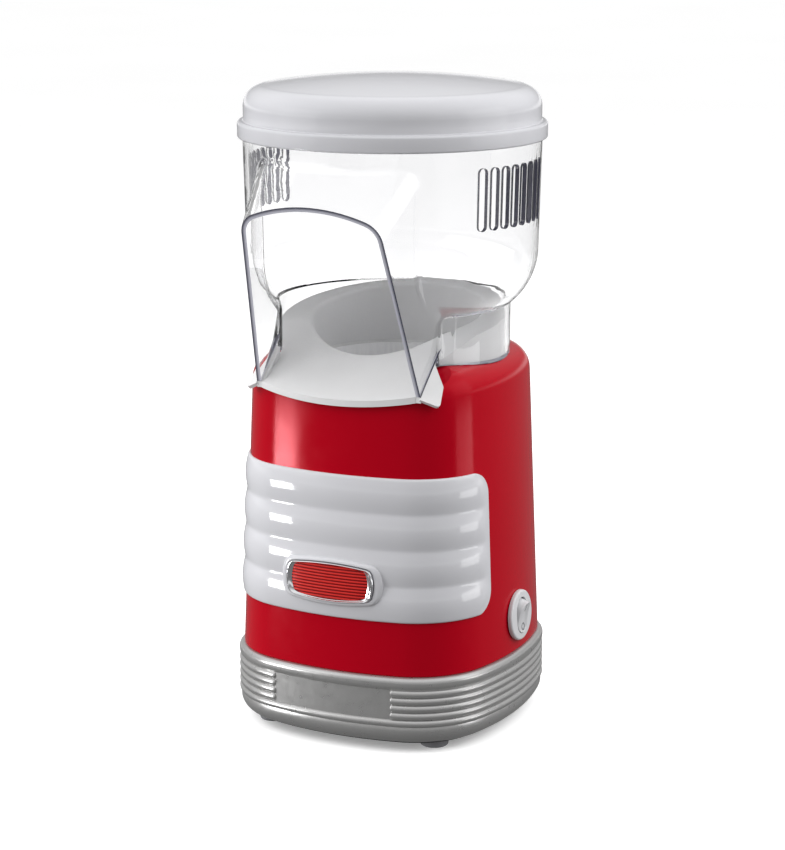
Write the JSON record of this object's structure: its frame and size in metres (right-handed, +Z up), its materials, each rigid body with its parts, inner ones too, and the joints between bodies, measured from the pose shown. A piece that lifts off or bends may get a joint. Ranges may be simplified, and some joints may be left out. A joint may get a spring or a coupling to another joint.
{
  "type": "popcorn maker",
  "caption": "Countertop hot-air popcorn maker: rounded-square housing on a ribbed base, clear hood with a front chute, lift-off measuring lid and a side rocker switch.",
  "frame": {"origin": "middle of the overall footprint, on the plane the feet stand on", "axes": "+Z up, the chute mouth faces -Y, the rocker switch faces +X"},
  "size_m": [0.1414, 0.1551, 0.3],
  "materials": {
    "foot_rubber": "matte grey rubber",
    "zinc_steel": "zinc-plated steel",
    "dark_plastic": "fine textured black plastic",
    "silver_paint": "satin silver metallic paint on plastic",
    "black_plastic": "satin black plastic",
    "natural_nylon": "natural nylon",
    "red_gloss": "high-gloss red plastic",
    "white_gloss": "gloss white plastic",
    "bright_chrome": "chromed plastic",
    "badge_red": "gloss red with fine ribs",
    "switch_white": "semi-gloss white plastic",
    "tab_brass": "bare brass",
    "duct_plastic": "heat-resistant grey plastic",
    "motor_steel": "plain steel",
    "bush_bronze": "sintered bronze",
    "ferrite": "ferrite",
    "board_green": "printed board",
    "jacket_steel": "sheet steel",
    "mica": "mica sheet",
    "heater_wire": "resistance wire",
    "chamber_aluminium": "drawn aluminium",
    "gasket_silicone": "white silicone",
    "deck_grey": "fine-textured light grey plastic",
    "clear_plastic": "clear moulded plastic"
  },
  "bodies": {
    "housing": {"feet": "foot_rubber", "base_screws": "zinc_steel", "bottom_plate": "dark_plastic", "base_ring": "silver_paint", "cord_gland": "black_plastic", "terminal_block": "natural_nylon", "housing_shell": "red_gloss", "front_band": "white_gloss", "badge_bezel": "bright_chrome", "badge_plate": "badge_red", "switch_body": "switch_white", "switch_tabs": "tab_brass", "fan_duct": "duct_plastic", "duct_screws": "zinc_steel", "motor_can": "motor_steel", "motor_endcap": "black_plastic", "motor_bushes": "bush_bronze", "motor_magnets": "ferrite", "motor_screws": "zinc_steel", "motor_tabs": "tab_brass", "rectifier_board": "board_green", "diodes": "black_plastic", "heater_jacket": "jacket_steel", "mica_frame": "mica", "heater_coil": "heater_wire", "thermostat": "jacket_steel", "thermal_fuse": "jacket_steel", "popping_chamber": "chamber_aluminium", "chamber_gasket": "gasket_silicone", "chute_deck": "deck_grey"},
    "fan": {"motor_shaft": "zinc_steel", "motor_armature": "motor_steel", "fan_impeller": "duct_plastic"},
    "rocker": {"switch_rocker": "switch_white"},
    "hood": {"hood_shell": "clear_plastic"},
    "lid": {"lid_cap": "white_gloss"}
  },
  "joints": [
    {"name": "hood_lift", "type": "slide", "parent": "housing", "child": "hood", "axis": [0, 0, 1], "range_m": [0, 0.12]},
    {"name": "lid_lift", "type": "slide", "parent": "hood", "child": "lid", "axis": [0, 0, 1], "range_m": [0, 0.06]},
    {"name": "rocker_tilt", "type": "hinge", "parent": "housing", "child": "rocker", "pos_m": [0.06221, 0.00886, 0.05264], "axis": [0, -1, 0], "range_deg": [0, 22]},
    {"name": "fan_spin", "type": "hinge", "parent": "housing", "child": "fan", "pos_m": [0, 0.01185, 0.07], "axis": [0, 0, 1], "continuous": true}
  ]
}
